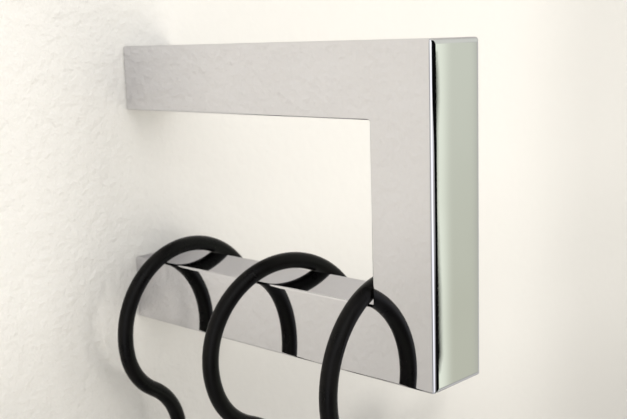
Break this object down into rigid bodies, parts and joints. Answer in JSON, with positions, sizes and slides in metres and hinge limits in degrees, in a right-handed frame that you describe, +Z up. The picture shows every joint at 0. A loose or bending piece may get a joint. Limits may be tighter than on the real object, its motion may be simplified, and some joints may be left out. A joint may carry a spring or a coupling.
{
  "type": "clip hanger rail",
  "caption": "Wall-mounted hanging rail bent from square bar into a closed U, with wire-hook clip hangers on its lower arm; each has a swivelling crossbar, sliding sprung clips and ribbed pads.",
  "frame": {"origin": "on the wall plane, midway between the two wall screws and midway between the two arms", "axes": "-Y away from the wall along the arms, +Z up, X across the bar's width"},
  "size_m": [0.3218, 0.1535, 0.2266],
  "materials": {
    "polished_chrome": "mirror polished",
    "satin_black_coating": "satin black coating on steel wire",
    "plated_clip": "bright nickel plate",
    "spring_wire": "drawn spring wire",
    "rubber_pad": "matt ribbed",
    "soft_black_cap": "matt soft vinyl",
    "plated_screw": "zinc plated",
    "cast_zinc": "as cast"
  },
  "bodies": {
    "rail": {"upper_arm": "polished_chrome", "front_upright": "polished_chrome", "lower_arm": "polished_chrome", "upper_wall_post": "cast_zinc", "lower_wall_post": "cast_zinc", "wall_screws": "plated_screw", "grub_screws": "plated_screw"},
    "hanger_1_hook": {"hanger_1_hook": "satin_black_coating"},
    "hanger_1_bar": {"hanger_1_washer": "plated_screw", "hanger_1_yoke": "satin_black_coating", "hanger_1_crossbar": "satin_black_coating", "hanger_1_end_caps": "soft_black_cap"},
    "hanger_1_left_clip": {"hanger_1_left_back_jaw": "plated_clip", "hanger_1_left_back_pad": "rubber_pad", "hanger_1_left_spring": "spring_wire"},
    "hanger_1_left_jaw": {"hanger_1_left_front_jaw": "plated_clip", "hanger_1_left_front_pad": "rubber_pad"},
    "hanger_1_right_clip": {"hanger_1_right_back_jaw": "plated_clip", "hanger_1_right_back_pad": "rubber_pad", "hanger_1_right_spring": "spring_wire"},
    "hanger_1_right_jaw": {"hanger_1_right_front_jaw": "plated_clip", "hanger_1_right_front_pad": "rubber_pad"},
    "hanger_2_hook": {"hanger_2_hook": "satin_black_coating"},
    "hanger_2_bar": {"hanger_2_washer": "plated_screw", "hanger_2_yoke": "satin_black_coating", "hanger_2_crossbar": "satin_black_coating", "hanger_2_end_caps": "soft_black_cap"},
    "hanger_2_left_clip": {"hanger_2_left_back_jaw": "plated_clip", "hanger_2_left_back_pad": "rubber_pad", "hanger_2_left_spring": "spring_wire"},
    "hanger_2_left_jaw": {"hanger_2_left_front_jaw": "plated_clip", "hanger_2_left_front_pad": "rubber_pad"},
    "hanger_2_right_clip": {"hanger_2_right_back_jaw": "plated_clip", "hanger_2_right_back_pad": "rubber_pad", "hanger_2_right_spring": "spring_wire"},
    "hanger_2_right_jaw": {"hanger_2_right_front_jaw": "plated_clip", "hanger_2_right_front_pad": "rubber_pad"},
    "hanger_3_hook": {"hanger_3_hook": "satin_black_coating"},
    "hanger_3_bar": {"hanger_3_washer": "plated_screw", "hanger_3_yoke": "satin_black_coating", "hanger_3_crossbar": "satin_black_coating", "hanger_3_end_caps": "soft_black_cap"},
    "hanger_3_left_clip": {"hanger_3_left_back_jaw": "plated_clip", "hanger_3_left_back_pad": "rubber_pad", "hanger_3_left_spring": "spring_wire"},
    "hanger_3_left_jaw": {"hanger_3_left_front_jaw": "plated_clip", "hanger_3_left_front_pad": "rubber_pad"},
    "hanger_3_right_clip": {"hanger_3_right_back_jaw": "plated_clip", "hanger_3_right_back_pad": "rubber_pad", "hanger_3_right_spring": "spring_wire"},
    "hanger_3_right_jaw": {"hanger_3_right_front_jaw": "plated_clip", "hanger_3_right_front_pad": "rubber_pad"}
  },
  "joints": [
    {"name": "hanger_1_along_arm", "type": "slide", "parent": "rail", "child": "hanger_1_hook", "axis": [0, -1, 0], "range_m": [-0.001, 0.012]},
    {"name": "hanger_1_swivel", "type": "hinge", "parent": "hanger_1_hook", "child": "hanger_1_bar", "pos_m": [-0.01074, -0.01521, -0.14158], "axis": [0.0523, -0.0009, 0.9986], "range_deg": [-2, 2]},
    {"name": "hanger_1_left_slide", "type": "slide", "parent": "hanger_1_bar", "child": "hanger_1_left_clip", "axis": [-0.9986, 0, 0.0523], "range_m": [-0.075, 0.022]},
    {"name": "hanger_1_left_open", "type": "hinge", "parent": "hanger_1_left_clip", "child": "hanger_1_left_jaw", "pos_m": [-0.1156, -0.01521, -0.13608], "axis": [-0.9986, 0, 0.0523], "range_deg": [0, 25], "stiffness_Nm_per_rad": 0.2, "springref_deg": -14.32, "deforming": ["hanger_1_left_spring"]},
    {"name": "hanger_1_right_slide", "type": "slide", "parent": "hanger_1_bar", "child": "hanger_1_right_clip", "axis": [0.9986, 0, -0.0523], "range_m": [-0.075, 0.022]},
    {"name": "hanger_1_right_open", "type": "hinge", "parent": "hanger_1_right_clip", "child": "hanger_1_right_jaw", "pos_m": [0.09412, -0.01521, -0.14707], "axis": [-0.9986, 0, 0.0523], "range_deg": [0, 25], "stiffness_Nm_per_rad": 0.2, "springref_deg": -14.32, "deforming": ["hanger_1_right_spring"]},
    {"name": "hanger_2_along_arm", "type": "slide", "parent": "rail", "child": "hanger_2_hook", "axis": [0, -1, 0], "range_m": [-0.012, 0.01]},
    {"name": "hanger_2_swivel", "type": "hinge", "parent": "hanger_2_hook", "child": "hanger_2_bar", "pos_m": [0.00591, -0.06055, -0.14191], "axis": [-0.1196, 0.0233, 0.9925], "range_deg": [-6, 6]},
    {"name": "hanger_2_left_slide", "type": "slide", "parent": "hanger_2_bar", "child": "hanger_2_left_clip", "axis": [-0.9928, -0.0014, -0.1196], "range_m": [-0.075, 0.022]},
    {"name": "hanger_2_left_open", "type": "hinge", "parent": "hanger_2_left_clip", "child": "hanger_2_left_jaw", "pos_m": [-0.09834, -0.06069, -0.15447], "axis": [-0.9928, -0.0014, -0.1196], "range_deg": [0, 25], "stiffness_Nm_per_rad": 0.2, "springref_deg": -14.32, "deforming": ["hanger_2_left_spring"]},
    {"name": "hanger_2_right_slide", "type": "slide", "parent": "hanger_2_bar", "child": "hanger_2_right_clip", "axis": [0.9928, 0.0014, 0.1196], "range_m": [-0.075, 0.022]},
    {"name": "hanger_2_right_open", "type": "hinge", "parent": "hanger_2_right_clip", "child": "hanger_2_right_jaw", "pos_m": [0.11015, -0.0604, -0.12935], "axis": [-0.9928, -0.0014, -0.1196], "range_deg": [0, 25], "stiffness_Nm_per_rad": 0.2, "springref_deg": -14.32, "deforming": ["hanger_2_right_spring"]},
    {"name": "hanger_3_along_arm", "type": "slide", "parent": "rail", "child": "hanger_3_hook", "axis": [0, -1, 0], "range_m": [-0.015, 0]},
    {"name": "hanger_3_swivel", "type": "hinge", "parent": "hanger_3_hook", "child": "hanger_3_bar", "pos_m": [-0.00571, -0.0986, -0.142], "axis": [0, 0, 1], "range_deg": [-6, 6]},
    {"name": "hanger_3_left_slide", "type": "slide", "parent": "hanger_3_bar", "child": "hanger_3_left_clip", "axis": [-1, 0, 0], "range_m": [-0.075, 0.022]},
    {"name": "hanger_3_left_open", "type": "hinge", "parent": "hanger_3_left_clip", "child": "hanger_3_left_jaw", "pos_m": [-0.11071, -0.0986, -0.142], "axis": [-1, 0, 0], "range_deg": [0, 25], "stiffness_Nm_per_rad": 0.2, "springref_deg": -14.32, "deforming": ["hanger_3_left_spring"]},
    {"name": "hanger_3_right_slide", "type": "slide", "parent": "hanger_3_bar", "child": "hanger_3_right_clip", "axis": [1, 0, 0], "range_m": [-0.075, 0.022]},
    {"name": "hanger_3_right_open", "type": "hinge", "parent": "hanger_3_right_clip", "child": "hanger_3_right_jaw", "pos_m": [0.09929, -0.0986, -0.142], "axis": [-1, 0, 0], "range_deg": [0, 25], "stiffness_Nm_per_rad": 0.2, "springref_deg": -14.32, "deforming": ["hanger_3_right_spring"]}
  ]
}
